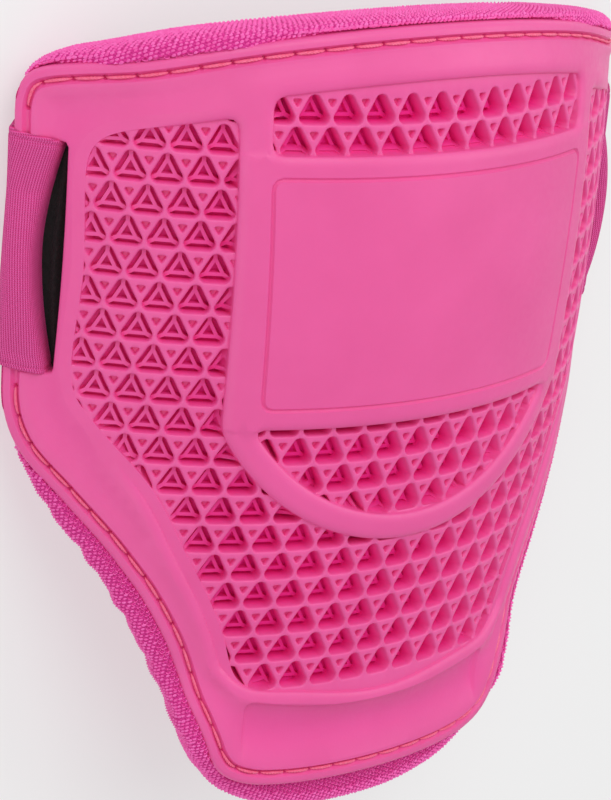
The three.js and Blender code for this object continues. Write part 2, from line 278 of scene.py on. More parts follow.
def normals(loop):
    """Directions out of an outline, whichever way round it runs."""
    following = np.roll(loop, -1, 0)
    along = unit(following - np.roll(loop, 1, 0))
    area = (loop[:, 0] * following[:, 1] - loop[:, 1] * following[:, 0]).sum()
    return np.sign(area) * np.column_stack([along[:, 1], -along[:, 0]])


def offset(loop, distance):
    """An outline moved outwards, or inwards where the distance is negative."""
    return loop + normals(loop) * np.broadcast_to(distance, len(loop))[:, None]


def nearest_index(points, places):
    """Number of the nearest place to each point."""
    tree = KDTree(len(places))
    for number, (u, v) in enumerate(places):
        tree.insert((u, v, 0), number)
    tree.balance()
    return np.array([tree.find((u, v, 0))[1] for u, v in points], int)


def segment_gaps(points, start, end):
    """From the nearest point of a segment to each point."""
    span = end - start
    share = np.clip(((points - start) * span).sum(-1) / (span ** 2).sum(-1), 0, 1)
    return points - start - share[..., None] * span


def signed_distance(points, loop):
    """Distance to a closed outline, negative inside it."""
    near = nearest_index(points, loop)
    gaps = [segment_gaps(points, loop[near], np.roll(loop, side, 0)[near]) for side in (-1, 1)]
    lengths = [np.linalg.norm(gap, axis=1) for gap in gaps]
    gap = np.where((lengths[0] < lengths[1])[:, None], *gaps)
    outside = (gap * normals(loop)[near]).sum(1) >= 0
    return np.where(outside, 1, -1) * np.minimum(*lengths)


def triangle_distance(points, corners):
    """Distance to a triangle whose corners run anticlockwise, negative inside it."""
    corners = np.array(corners, float)
    following = np.roll(corners, -1, 0)
    sides = list(zip(corners, following))
    nearest = np.min([np.linalg.norm(segment_gaps(points, *side), axis=1) for side in sides], 0)
    inside = np.ones(len(points), bool)
    for (a, b), (c, d) in sides:
        inside &= (c - a) * (points[:, 1] - b) > (d - b) * (points[:, 0] - a)
    return np.where(inside, -nearest, nearest)


def slot_loop(side):
    inner, outer = side * SLOT.inner, side * SLOT.outer
    corners = [(inner, SLOT.bottom), (outer, SLOT.bottom), (outer, SLOT.top), (inner, SLOT.top)]
    return softened(corners, 0.8, 0.8)


def arc_below(rib, half):
    """Points of a rib's arc from left to right."""
    reach = math.asin(half / rib.radius)
    angles = np.linspace(-reach, reach, 40)
    return [(rib.radius * math.sin(a), rib.centre - rib.radius * math.cos(a)) for a in angles]


def field_loop(hull):
    """Outline of the lattice field, which runs round the ring of the panel."""
    outside = hull[(np.abs(hull[:, 0]) > RING.half) | (hull[:, 1] < RING.split)]
    corner = top_arch(RING.half, FIELD_BELOW_TOP)
    ring = [(-RING.half, corner), *arc_below(RIB_OUTER, RING.low_half), (RING.half, corner)]
    return softened(np.vstack([outside, ring]), 1, 2.3)


def shell_loops():
    hull = smooth_loop(mirrored(arch_points(FIELD_BELOW_TOP, 62) + FIELD_SIDE), 1)
    strip_half = arch_points(STRIP_BELOW_TOP, STRIP.half, 8)
    strip_half += [(STRIP.half, top_arch(STRIP.half, STRIP_BELOW_TOP))]
    strip_half += [(STRIP.half, STRIP.bottom), (0, STRIP.bottom)]
    cradle_half = math.sqrt(RIB_INNER.radius ** 2 - (RIB_INNER.centre - SLAB.bottom) ** 2)
    panel_half = [(0, PANEL.top), (PANEL.top_half, PANEL.top)]
    panel_half += [(PANEL.bottom_half, PANEL.bottom), (0, PANEL.bottom)]
    plate_half = [(u, PLATE.crown + PLATE.rise * u * u) for u in np.linspace(0, PLATE.half, 8)]
    plate_half += [(u, PLATE.bottom - PLATE.beyond) for u in (PLATE.half, 0)]
    return {
        "edge": smooth_loop(mirrored(arch_points(0, 74) + SHELL_SIDE), 1.6),
        "hull": hull,
        "field": field_loop(hull),
        "strip": softened(mirrored(strip_half), 1, 2),
        "cradle": softened(arc_below(RIB_INNER, cradle_half), 1, 2.2),
        "panel": softened(mirrored(panel_half), 1, 2),
        "plate": softened(mirrored(plate_half), 1, 2),
        "slot_left": slot_loop(-1),
        "slot_right": slot_loop(1),
    }


# Lattice

def triangle_ring(core, distance, arc_steps, side_steps):
    """Outline at a distance outside a triangle, or inside it where the distance is negative."""
    corners = np.array(core, float)
    sides = np.roll(corners, -1, 0) - corners
    lengths = np.linalg.norm(sides, axis=1)
    outward = np.column_stack([sides[:, 1], -sides[:, 0]]) / lengths[:, None]
    if distance < 0:
        opposite = np.roll(lengths, -1)
        middle = (corners * opposite[:, None]).sum(0) / lengths.sum()
        inradius = abs(sides[0][0] * sides[1][1] - sides[0][1] * sides[1][0]) / lengths.sum()
        corners = middle + (corners - middle) * (1 + distance / inradius)
    points = []
    for k in range(3):
        first, second = outward[k - 1], outward[k]
        for share in np.linspace(0, 1, arc_steps) if distance > 0 else [0.5]:
            turn = (1 - share) * first + share * second
            points.append(corners[k] + max(distance, 0) * turn / np.linalg.norm(turn))
        start = corners[k] + max(distance, 0) * second
        end = corners[(k + 1) % 3] + max(distance, 0) * second
        points += [start + (end - start) * (i + 1) / (side_steps + 1) for i in range(side_steps)]
    return np.array(points)


def boss_arms():
    """Corners of a pocket's triangle, with the ways out of them and half of their angles."""
    corners = np.array(POCKET.core, float)
    for k in range(3):
        ways = np.array([corners[k] - corners[k - 1], corners[k] - corners[(k + 1) % 3]])
        ways /= np.linalg.norm(ways, axis=1)[:, None]
        out = ways.sum(0) / np.linalg.norm(ways.sum(0))
        yield corners[k], out, math.acos(ways[0] @ ways[1]) / 2


def boss_ring(within):
    """Outline of a boss and its arms, some distance inside them."""
    beyond, arm = BOSS.beyond - within, BOSS.arm - within
    reach = math.sqrt((POCKET.rounding - POCKET_FOOT - 0.01) ** 2 - arm ** 2)
    points = []
    for corner, out, half_angle in boss_arms():
        root = beyond / math.sin(half_angle) - arm / math.tan(half_angle)
        side = arm * np.array([-out[1], out[0]])
        points += [corner + root * out - side, corner + reach * out - side]
        points += [corner + reach * out + side, corner + root * out + side]
    return np.array(points)


def lattice_centres(half_step):
    """Places of the pockets, or of the dimples half a pitch beside them."""
    columns = LATTICE.pitch * np.arange(-13, 14) + LATTICE.shift + half_step * LATTICE.pitch / 2
    rows = np.arange(LATTICE.rows)
    u = columns[None, :] - (rows % 2)[:, None] * LATTICE.pitch / 2
    v = np.broadcast_to((LATTICE.top - rows * LATTICE.row)[:, None], u.shape)
    return np.column_stack([u.ravel(), v.ravel()])


def in_nearest_cell(points, cell, half_step):
    """How deep points lie inside the nearest pocket or dimple, negative outside, and where in it."""
    pitch, row = LATTICE.pitch, LATTICE.row
    above = np.floor((LATTICE.top - points[:, 1]) / row)
    deepest = np.full(len(points), -9.0)
    place = np.zeros((len(points), 2))
    for index in (above, above + 1):
        first = LATTICE.shift + half_step * pitch / 2 - (index % 2) * pitch / 2
        u = (points[:, 0] - first + pitch / 2) % pitch - pitch / 2
        v = points[:, 1] - (LATTICE.top - index * row)
        local = np.column_stack([u, v])
        depth = cell.rounding - triangle_distance(local, cell.core)
        better = (index >= 0) & (index < LATTICE.rows) & (depth > deepest)
        deepest[better] = depth[better]
        place[better] = local[better]
    return deepest, place


def lattice_height(points):
    inside, place = in_nearest_cell(points, POCKET, 0)
    level = -np.interp(np.abs(points[:, 0] - place[:, 0]), *zip(*BOSS_DEPTH))
    boss = np.clip((BOSS.beyond - triangle_distance(place, POCKET.core)) / BOSS.draft, 0, 1)
    floor = np.maximum(level - BOSS.height, POCKET_FLOOR)
    rise = boss * (level - floor)
    for corner, out, _ in boss_arms():
        from_arm = np.linalg.norm(segment_gaps(place, corner - out, corner + 2 * out), axis=1)
        arm = np.clip((BOSS.arm - from_arm) / BOSS.draft, 0, 1)
        rise = np.maximum(rise, arm * (np.maximum(BOSS.arm_depth * level, floor) - floor))
    rise *= 1 - np.clip((inside - BOSS_HOLE.inside) / BOSS_HOLE.draft, 0, 1)
    rim_inside, rim_height = POCKET_RIM[-1]
    wall = np.clip((inside - rim_inside) / (POCKET_FOOT - rim_inside), 0, 1)
    height = np.interp(inside, *zip(*POCKET_RIM)) + wall * (floor + rise - rim_height)
    dimple, _ = in_nearest_cell(points, DIMPLE, 1)
    return height + np.interp(dimple, *zip(*DIMPLE_SECTION))


# Shell

def stitch_inset(v):
    low = smooth(-v, *STITCH_GROOVE.band)
    return STITCH_GROOVE.inset_top + (STITCH_GROOVE.inset_low - STITCH_GROOVE.inset_top) * low


def stitch_line(loops, spacing):
    """The sewn line round the lip, closed, with its first point last again."""
    edge = loops["edge"]
    line = offset(edge, -stitch_inset(edge[:, 1]))
    return resampled(np.vstack([line, line[:1]]), spacing)


def needle_holes(loops):
    return stitch_line(loops, STITCH.pitch)[:-1]


def border_distance(points, loops):
    """Distance to the recessed lattice, negative inside it."""
    return np.minimum.reduce([signed_distance(points, loops[name]) for name in RECESSES])


def frame_top(u, v):
    """Height of the frame beside the lattice, which sinks towards the wings' ends."""
    out = smooth(np.abs(u), *WING.across) * smooth(v, *WING.up)
    return FRAME_TOP + (WING.top - FRAME_TOP) * out


def border_margin(v):
    """Width of the plain strip between the lattice's cut side and the frame, along the lower sides."""
    return MARGIN.width * smooth(-v, *MARGIN.upper) * smooth(v, *MARGIN.lower)


def shell_height(points, loops):
    u, v = points.T
    half, ledge = STITCH_GROOVE.half, STITCH_GROOVE.ledge

    # Lip and sewn groove along the edge, then a hollow sweep up to the ridge round the lattice
    across = -signed_distance(points, loops["edge"]) - stitch_inset(v)
    lip = LIP_TOP - STITCH_GROOVE.depth * np.clip(1 - (across / half) ** 2, 0, 1)
    holes = needle_holes(loops)
    from_hole = np.linalg.norm(points - holes[nearest_index(points, holes)], axis=1)
    lip -= NEEDLE_HOLE.depth * (1 - smooth(from_hole, 0.3 * NEEDLE_HOLE.radius, NEEDLE_HOLE.radius))
    hull = np.minimum(signed_distance(points, loops["hull"]), signed_distance(points, loops["strip"]))
    climbed = np.maximum(across - half - ledge, 0)
    margin = border_margin(v) * (hull > -0.3)
    to_ridge = np.maximum(hull - RIDGE_AWAY - margin, 0)
    share = climbed / (climbed + to_ridge + 1e-6)
    wide = np.minimum((climbed + to_ridge) / FLANGE.full_width, 1)
    in_band = smooth(v, *TOP_BAND.up)
    out_of_band = smooth(np.abs(u), *TOP_BAND.across)
    dip = FLANGE.dip - (FLANGE.dip + TOP_BAND.bow) * in_band * (1 - out_of_band)
    top = frame_top(u, v)
    height = lip + (top - LIP_TOP) * share ** 2 - dip * wide * np.sin(math.pi * share)

    # Slab of the panel, the groove round the panel and the plate under the lattice
    above = smooth(v, SLAB.bottom - SLAB.slope, SLAB.bottom)
    slab = np.minimum(above, smooth(-v, -SLAB.top - SLAB.slope, -SLAB.top))
    height += SLAB.rise * slab * (np.abs(u) < RING.half)
    panel = signed_distance(points, loops["panel"])
    height -= PANEL.depth * np.clip(1 - (panel / PANEL.groove) ** 2, 0, 1)
    plate = signed_distance(points, loops["plate"])
    height -= PLATE.depth * smooth(-plate, -0.3, 0.4) * smooth(v, PLATE.bottom, PLATE.bottom + PLATE.fade)

    # Rounded border of the frame, and the lattice inside it
    border = border_distance(points, loops)
    close = np.clip(1 - (border - margin) / BORDER.width, 0, 1)
    height -= np.maximum(top - BORDER.foot, 0) * (1 - np.sqrt(1 - close ** 2))
    lowered = np.clip(-border / BORDER.draft, 0, 1)
    depth = BORDER.shallow + (1 - BORDER.shallow) * smooth(-border, 0, BORDER.shallow_to)
    return np.where(border < 0, height + lowered * (depth * lattice_height(points) - height), height)


class Net:
    """Points and edges that a flat mesh has to keep."""

    def __init__(self):
        self.points = []
        self.edges = []

    def add(self, points, edges=()):
        first = len(self.points)
        self.points.extend(map(tuple, points))
        self.edges.extend((first + a, first + b) for a, b in edges)

    def loop(self, points):
        self.add(points, [(i, (i + 1) % len(points)) for i in range(len(points))])

    def chain(self, points):
        self.add(points, [(i, i + 1) for i in range(len(points) - 1)])

    def rings(self, loop, distances):
        for distance in distances:
            self.loop(offset(loop, distance))

    def triangles(self):
        """Points and triangles of the whole net, anticlockwise."""
        result = delaunay_2d_cdt([Vector(p) for p in self.points], self.edges, [], 0, 1e-6, False)
        return np.array([p[:] for p in result[0]]), np.array(result[2])


def add_cut_rings(net, centres, ring, loops):
    """A ring round each centre, cut off at the border of the lattice."""
    cut = 0.5 * BORDER.draft
    near = centres[border_distance(centres, loops) < 4]
    count = len(ring)
    points = (near[:, None] + ring).reshape(-1, 2)
    depth = border_distance(points, loops) + cut
    following = np.arange(len(points)) + 1
    following[count - 1::count] -= count
    inside = depth < 0
    number = np.cumsum(inside) - 1
    kept = np.flatnonzero(inside & inside[following])
    edges = list(zip(number[kept], number[following[kept]]))
    crossing = np.flatnonzero(inside != inside[following])
    start = np.where(inside[crossing], crossing, following[crossing])
    end = np.where(inside[crossing], following[crossing], crossing)
    share = depth[start] / (depth[start] - depth[end])
    ends = points[start] + share[:, None] * (points[end] - points[start])
    edges += list(zip(number[start], inside.sum() + np.arange(len(ends))))
    net.add(np.vstack([points[inside], ends]), edges)


def boundary_loops(triangles):
    """Chains of the edges that belong to one triangle only."""
    pairs = np.vstack([triangles[:, [0, 1]], triangles[:, [1, 2]], triangles[:, [2, 0]]])
    taken = set(map(tuple, pairs.tolist()))
    following = {a: b for a, b in taken if (b, a) not in taken}
    chains = []
    while following:
        first, point = following.popitem()
        chain = [first]
        while point != first:
            chain.append(point)
            point = following.pop(point)
        chains.append(chain)
    return chains


def grid_points(loop, spacing):
    low, high = loop.min(0), loop.max(0)
    axes = [np.arange(low[k], high[k], spacing) for k in range(2)]
    return np.stack(np.meshgrid(*axes), axis=-1).reshape(-1, 2)


def add_lattice(net, loops):
    pockets, dimples = lattice_centres(0), lattice_centres(1)
    for inside in [inside for inside, _ in POCKET_RIM] + [POCKET_FOOT]:
        add_cut_rings(net, pockets, triangle_ring(POCKET.core, POCKET.rounding - inside, 7, 2), loops)
    for within in (0, BOSS.draft):
        add_cut_rings(net, pockets, boss_ring(within), loops)
    for within in (0, BOSS_HOLE.draft):
        distance = POCKET.rounding - BOSS_HOLE.inside - within
        add_cut_rings(net, pockets, triangle_ring(POCKET.core, distance, 1, 1), loops)
    for inside, _ in DIMPLE_SECTION:
        add_cut_rings(net, dimples, triangle_ring(DIMPLE.core, DIMPLE.rounding - inside, 3, 1), loops)


def add_frame(net, loops, holes):
    """Rings along the lip, needle holes, borders, panel, plate and slots, and the ends of the slab."""
    half, ledge = STITCH_GROOVE.half, STITCH_GROOVE.ledge
    edge = loops["edge"]
    groove = [share * half for share in (-1, -0.6, -0.2, 0.2, 0.6, 1)]
    across = (*groove, half + ledge / 2, half + ledge, half + 2)
    net.rings(edge, [-stitch_inset(edge[:, 1]) - distance for distance in across])
    turn = np.linspace(0, 2 * math.pi, 8, endpoint=False)
    circle = NEEDLE_HOLE.radius * np.column_stack([np.cos(turn), np.sin(turn)])
    for hole in needle_holes(loops):
        for share in (0.3, 0.65, 1):
            net.loop(hole + share * circle)
    border = BORDER.width * np.array([1.15, 1, 0.8, 0.6, 0.42, 0.27, 0.15, 0.06, 0.015, 0])
    for name in RECESSES:
        net.rings(loops[name], [*border, -BORDER.draft])
    for share in (0, 0.1, 0.3, 0.6, 1):
        ridge = offset(loops["hull"], MARGIN.width + share * BORDER.width)
        net.add(ridge[(ridge[:, 1] < -MARGIN.upper[0]) & (ridge[:, 1] > MARGIN.lower[0] - 1)])
    net.rings(loops["panel"], PANEL.groove * np.array([-1.8, -1, -0.6, 0, 0.6, 1, 1.8]))
    net.rings(loops["plate"], (-0.5, -0.2, 0.1, 0.4))
    for hole in holes:
        net.rings(hole, (0, 0.6))
    for level in (SLAB.bottom - SLAB.slope, SLAB.bottom, SLAB.top, SLAB.top + SLAB.slope):
        for side in (-1, 1):
            u = side * np.linspace(SLAB.inner, RING.half - 0.5, 10)
            net.chain(np.column_stack([u, np.full(10, level)]))


def shell_top(loops):
    """The shell's outer face, flat, as points, triangles, heights and the depths that set its painted shade.
    """
    net = Net()
    edge = loops["edge"]
    outer = offset(edge, -EDGE_ROUNDING)
    holes = [offset(loops[name], SLOT_ROUNDING) for name in SLOTS]
    net.loop(outer)
    add_frame(net, loops, holes)
    add_lattice(net, loops)

    # Plain points where the frame is smooth
    plain = grid_points(edge, 2)
    clear = (border_distance(plain, loops) > RIDGE_AWAY + 0.8) & (signed_distance(plain, edge) < -6)
    for name in ("panel", "plate", *SLOTS):
        clear &= np.abs(signed_distance(plain, loops[name])) > 1.4
    net.add(plain[clear])

    points, triangles = net.triangles()
    middles = points[triangles].mean(1)
    shown = signed_distance(middles, outer) < 0
    for hole in holes:
        shown &= signed_distance(middles, hole) > 0
    used, index = np.unique(triangles[shown], return_inverse=True)
    points = points[used]
    height = shell_height(points, loops)
    # Painted shade: depth below the frame in the lattice, and a smaller share of depth below the lip's top in
    # the flange's hollow
    hollow = HOLLOW_SHADE.tint * np.clip(LIP_TOP - height, 0, HOLLOW_SHADE.deepest)
    sunk = np.where(border_distance(points, loops) < 0, np.maximum(-height, 0), hollow)
    return points, index.reshape(-1, 3), height, sunk


def shell_mesh(loops):
    """The whole shell, with rounded rims, slots and a plain back, and the depths that set its painted shade.
    """
    points, triangles, height, sunk = shell_top(loops)
    places = [lifted(points, height)]
    faces = triangles.tolist()
    total = len(points)
    back = Net()
    for chain in boundary_loops(triangles):
        rim = points[chain]
        along = np.roll(rim, -1, 0) - np.roll(rim, 1, 0)
        out = unit(np.column_stack([along[:, 1], -along[:, 0]]))
        radius = EDGE_ROUNDING if len(chain) > 200 else SLOT_ROUNDING
        level = height[chain]
        rings = [(share * radius, level - drop * radius) for share, drop in RIM_TURN]
        rings += [(radius, SHELL_BACK + 0.4), (0.8 * radius, SHELL_BACK + 0.1), (0.4 * radius, SHELL_BACK)]
        before = np.array(chain)
        for distance, ring_height in rings:
            places.append(lifted(rim + distance * out, ring_height))
            ring = total + np.arange(len(rim))
            quads = np.column_stack([before, ring, np.roll(ring, -1), np.roll(before, -1)])
            faces += quads.tolist()
            before = ring
            total += len(rim)
        back.loop(places[-1][:, :2])
    inner = grid_points(loops["edge"], 5)
    inner = inner[signed_distance(inner, loops["edge"]) < -3]
    for name in SLOTS:
        inner = inner[signed_distance(inner, loops[name]) > 2]
    back.add(inner)
    flat, flat_triangles = back.triangles()
    middles = flat[flat_triangles].mean(1)
    shown = signed_distance(middles, loops["edge"]) < -0.3
    for name in SLOTS:
        shown &= signed_distance(middles, loops[name]) > 0.2
    faces += (flat_triangles[shown][:, ::-1] + total).tolist()
    places.append(lifted(flat, SHELL_BACK))
    points = bend(np.vstack(places))
    return points, faces, np.pad(sunk, (0, len(points) - len(sunk)))


# Stitches

def grid_faces(rows, columns, first=0, wrapped=False):
    """Quads of a grid of points in rows, the last column joined to the first where it wraps."""
    number = first + np.arange(rows * columns).reshape(rows, columns)
    beside = np.roll(number, -1, 1) if wrapped else number[:, 1:]
    number = number if wrapped else number[:, :-1]
    return np.stack([number[:-1], beside[:-1], beside[1:], number[1:]], -1).reshape(-1, 4).tolist()


def stitch_mesh(loops):
    """Twisted stitches that lie in the sewn groove and dip into the needle holes."""
    line = stitch_line(loops, 0.1)
    out = normals(line[:-1])
    out = np.vstack([out, out[:1]])
    reach = distances_along(line)
    count = len(needle_holes(loops))
    t = np.linspace(0, 1, 21)
    taper = np.sin(math.pi * t) ** 0.35
    ring = np.linspace(0, 2 * math.pi, 6, endpoint=False)
    radius = STITCH.ply * (0.3 + 0.7 * taper)[:, None]
    points, faces = [], []
    for number in range(count):
        stations = (number + 0.5) * reach[-1] / count + (t - 0.5) * STITCH.length
        centre = np.column_stack([np.interp(stations, reach, line[:, k]) for k in range(2)])
        side = np.column_stack([np.interp(stations, reach, out[:, k]) for k in range(2)])
        u, v = centre[10]
        if abs(u) > STITCH_GAP.beyond and STITCH_GAP.bottom < v < STITCH_GAP.top:
            continue
        for ply in range(STITCH.plies):
            angle = 2 * math.pi * (STITCH.turns * t + ply / STITCH.plies)
            across = (STITCH.twist * taper * np.cos(angle))[:, None] + radius * np.cos(ring)
            level = STITCH.height + STITCH.rise * taper + STITCH.twist * taper * np.sin(angle)
            height = level[:, None] + radius * np.sin(ring)
            places = centre[:, None] + side[:, None] * across[..., None]
            flat = np.concatenate([places, height[..., None]], -1)
            faces += grid_faces(len(t), len(ring), sum(map(len, points)), wrapped=True)
            points.append(flat.reshape(-1, 3))
    return bend(np.vstack(points)), faces


# Liner

def liner_outline():
    """Edge of the pad, cut back behind the strap."""
    u, v = smooth_loop(mirrored(LINER_SIDE), 1).T
    behind = (v > LINER_NOTCH.bottom) & (v < LINER_NOTCH.top)
    reach = np.where(behind, np.minimum(np.abs(u), LINER_NOTCH.inner), np.abs(u))
    return softened(np.column_stack([np.sign(u) * reach, v]), LINER.spacing, 1.2)


def liner_section(steps):
    """Rolled edge of the pad from its front to its back, as (distance out of its outline, height)."""
    angle = np.linspace(0, math.pi, steps)
    middle, half = (LINER.front + LINER.back) / 2, (LINER.front - LINER.back) / 2
    out = LINER.roll * (np.maximum(np.sin(angle), 0) ** LINER.squareness - 1)
    return np.column_stack([out, middle + half * np.cos(angle)])


def inner_triangles(net, loop):
    """Points and triangles of a net inside an outline."""
    points, triangles = net.triangles()
    return points, triangles[signed_distance(points[triangles].mean(1), loop) < 0]


def channel_lines(outline):
    """Sewn lines up the arm's side of the pad."""
    lines = []
    for u in CHANNEL.places:
        v = np.arange(outline[:, 1].min(), outline[:, 1].max(), 1.5)
        line = np.column_stack([np.full(len(v), u), v])
        lines.append(line[signed_distance(line, outline) < -CHANNEL.clear])
    return lines


def towards_front(height):
    """Where a height lies in the pad, from -1 at its back to 1 at its front."""
    middle = (LINER.front + LINER.back) / 2
    return (height - middle) / (LINER.front - middle)


def leaned(v, height):
    """How far the front of the pad's upper edge leans out."""
    return LINER_LEAN.reach * smooth(v, *LINER_LEAN.band) * np.maximum(towards_front(height), 0)


def risen(flat, loops):
    """Points of the pad with its front raised beside the shell's edge."""
    start, *_, end = LINER_RISE.ramp
    beside = smooth(signed_distance(flat[:, :2], loops["edge"]), start, end)
    beside *= 1 - (1 - LINER_RISE.low_share) * smooth(-flat[:, 1], *LINER_RISE.low)
    raised = flat.copy()
    raised[:, 2] += LINER_RISE.height * np.clip(towards_front(flat[:, 2]), 0, 1) * beside
    return raised


def liner_mesh(outline, loops):
    """The pad before it swells, as flat points, faces and the points that sewing holds."""
    section = liner_section(11)
    station = 2 * math.pi * LINER.spacing * np.arange(len(outline))
    wave = np.sin(station / LINER_WAVE.length) + np.sin(station / (LINER_WAVE.second * LINER_WAVE.length))
    wave *= smooth(-outline[:, 1], *LINER_WAVE.upper) * smooth(outline[:, 1], *LINER_WAVE.lower)
    rows = []
    for out, height in section:
        bulge = LINER_WAVE.height * wave * (1 + out / LINER.roll)
        rows.append(lifted(offset(outline, out + bulge + leaned(outline[:, 1], height)), height))
    points, held = [np.vstack(rows)], [np.repeat(np.arange(len(section)) == 0, len(outline))]
    faces = grid_faces(len(section), len(outline), wrapped=True)
    rim = rows[0][:, :2]
    grid = grid_points(rim, 3)
    front = Net()
    front.loop(rim)
    front.add(grid[signed_distance(grid, rim) < -1.5])
    for distance in LINER_RISE.ramp:
        ring = offset(loops["edge"], distance)
        front.add(ring[signed_distance(ring, rim) < -0.3])
    flat, triangles = inner_triangles(front, rim)
    faces += (triangles[:, ::-1] + sum(map(len, points))).tolist()
    points.append(lifted(flat, LINER.front))
    held.append(np.ones(len(flat), bool))

    rim = rows[-1][:, :2]
    grid = grid[signed_distance(grid, rim) < -1.5]
    back = Net()
    back.loop(rim)
    for line in channel_lines(outline):
        back.chain(line)
        grid = grid[np.abs(grid[:, 0] - line[0, 0]) > 1.2]
    back.add(grid)
    flat, triangles = inner_triangles(back, rim)
    sewn = np.isin(flat[:, 0], CHANNEL.places) & (signed_distance(flat, outline) < -CHANNEL.clear)
    faces += (triangles + sum(map(len, points))).tolist()
    points.append(lifted(flat, LINER.back + CHANNEL.sunk * sewn))
    held.append(sewn)
    return risen(np.vstack(points), loops), faces, np.concatenate(held)


def coordinates(mesh):
    places = np.empty(3 * len(mesh.vertices))
    mesh.vertices.foreach_get("co", places)
    return places.reshape(-1, 3)


def swell(pad, held, cap):
    """Blows a pad up by cloth simulation, its held points fixed and its movement capped."""
    group = pad.vertex_groups.new(name="held")
    group.add(np.flatnonzero(held).tolist(), 1, "REPLACE")
    cloth = pad.modifiers.new("cloth", "CLOTH")
    cloth.settings.quality = 5
    cloth.settings.mass = 0.3
    cloth.settings.vertex_group_mass = group.name
    cloth.settings.use_pressure = True
    cloth.settings.uniform_pressure_force = 4
    cloth.settings.effector_weights.gravity = 0
    for number in range(1, 21):
        bpy.context.scene.frame_set(number)
    evaluated = pad.evaluated_get(bpy.context.evaluated_depsgraph_get())
    before, after = coordinates(pad.data), coordinates(evaluated.data)
    pad.modifiers.remove(cloth)
    pad.vertex_groups.clear()
    bpy.context.scene.frame_set(1)
    distance = np.linalg.norm(after - before, axis=1)[:, None] + 1e-9
    moved = before + (after - before) / distance * cap * np.tanh(distance / cap)
    pad.data.vertices.foreach_set("co", moved.ravel())


def liner_pad(outline, loops):
    """The pad: swollen by simulation, subdivided and pressed flat where it lies on the table."""
    flat, faces, held = liner_mesh(outline, loops)
    fields = {"flat": flat, "held": held}
    pad = mesh_object("liner_pad", bend(flat), faces, liner_cloth, welded=True, fields=fields)
    kept = np.empty(len(pad.data.vertices))
    pad.data.attributes["held"].data.foreach_get("value", kept)
    fixed = (kept > 0.5) | (coordinates(pad.data)[:, 2] < ON_TABLE)
    swell(pad, fixed, 0.001 * LINER.swell)
    applied(pad, "SUBSURF", levels=1, render_levels=1)
    places = coordinates(pad.data)
    places[:, 2] = np.maximum(places[:, 2], PRESSED)
    pad.data.vertices.foreach_set("co", places.ravel())
    return pad


def yarn_template():
    """A low oval bump, its length along x."""
    turn = np.linspace(0, 2 * math.pi, 8, endpoint=False)
    oval = np.column_stack([np.cos(turn) * YARN.length / 2, np.sin(turn) * YARN.width / 2])
    return np.vstack([lifted(oval, -0.1), [[0, 0, YARN.height]]]), [[k, (k + 1) % 8, 8] for k in range(8)]


def twill_places(outline):
    """Places of the yarns on the flat cloth, in leaning rows, some way past the pad's outline."""
    low, high = outline.min(0) - YARN.reach, outline.max(0) + YARN.reach
    rows = np.arange(-320, 320)[:, None]
    columns = np.arange(-220, 220)[None, :]
    lean = math.radians(YARN.lean)
    along = YARN.along * (columns + (rows * YARN.step) % 1)
    across = np.broadcast_to(YARN.across * rows, along.shape)
    u = along * math.cos(lean) - across * math.sin(lean)
    v = along * math.sin(lean) + across * math.cos(lean)
    places = np.column_stack([u.ravel(), v.ravel()])
    return places[((places > low) & (places < high)).all(1)]


def on_rolled_edge(cloth, outline):
    """Flat places (u, v, h) round the pad's edge of points on its cloth, and the ways along and out."""
    inside = LINER.roll + LINER.inside
    section = np.vstack([(-inside, LINER.front), liner_section(41), (-inside, LINER.back)])
    raised = section + np.outer(np.clip(towards_front(section[:, 1]), 0, 1), [0, LINER_RISE.height])
    reach = distances_along(raised)
    fine = evenly(outline, 0.3)
    near = nearest_index(cloth, fine)
    out = normals(fine)[near]
    past = signed_distance(cloth, outline) + LINER.roll + LINER.inside
    distance, height = (np.interp(past, reach, column) for column in section.T)
    shown = (past > 0) & (past < reach[-1])
    distance = distance + leaned(fine[near, 1], height)
    flat = lifted(fine[near] + distance[:, None] * out, height)
    along = np.column_stack([-out[:, 1], out[:, 0]])
    return flat[shown], along[shown], out[shown]


def weave_mesh(pad, outline, loops):
    """Raised yarns of the twill along the pad's rolled edge, each with a tint."""
    surface = BVHTree.FromPolygons(coordinates(pad.data).tolist(), [p.vertices[:] for p in pad.data.polygons])
    flat, along_flat, out_flat = on_rolled_edge(twill_places(outline), outline)
    flat = risen(flat, loops)
    places = bend(flat)
    covered = (signed_distance(flat[:, :2], loops["edge"]) < -0.4) & (flat[:, 2] > LINER.front - 1)
    notched = np.abs(flat[:, 0]) > LINER_NOTCH.inner - 4
    notched &= (flat[:, 1] > LINER_NOTCH.bottom - 2.5) & (flat[:, 1] < LINER_NOTCH.top + 2.5)
    shown = ~covered & ~notched & (places[:, 2] > ON_TABLE)
    flat, along_flat, out_flat = flat[shown], along_flat[shown], out_flat[shown]
    found = [surface.find_nearest(Vector(place)) for place in places[shown]]
    centre = np.array([hit[0][:] for hit in found])
    up = np.array([hit[1][:] for hit in found])
    along = bend(flat + 0.1 * lifted(along_flat, 0)) - bend(flat)
    along = unit(along - (along * up).sum(1)[:, None] * up)
    across = np.cross(up, along)
    generator = np.random.default_rng(7)
    angle = np.radians(YARN.lean + YARN.slant + generator.normal(0, YARN.turn_spread, len(centre)))
    way = np.column_stack([np.cos(angle), np.sin(angle)])
    by_along = (way * along_flat).sum(1)[:, None]
    by_across = -(way * out_flat).sum(1)[:, None]
    length_way = by_along * along + by_across * across
    width_way = np.cross(up, length_way)
    size = 0.001 * generator.normal(1, YARN.size_spread, len(centre))[:, None, None]
    template, template_faces = yarn_template()
    frames = np.stack([length_way, width_way, up], 1)
    points = centre[:, None] + size * (template @ frames)
    first = len(template) * np.arange(len(centre))
    faces = [[start + k for k in face] for start in first.tolist() for face in template_faces]
    tint = np.repeat(generator.random(len(centre)), len(template))
    return points.reshape(-1, 3), faces, tint


# Strap and hook tabs

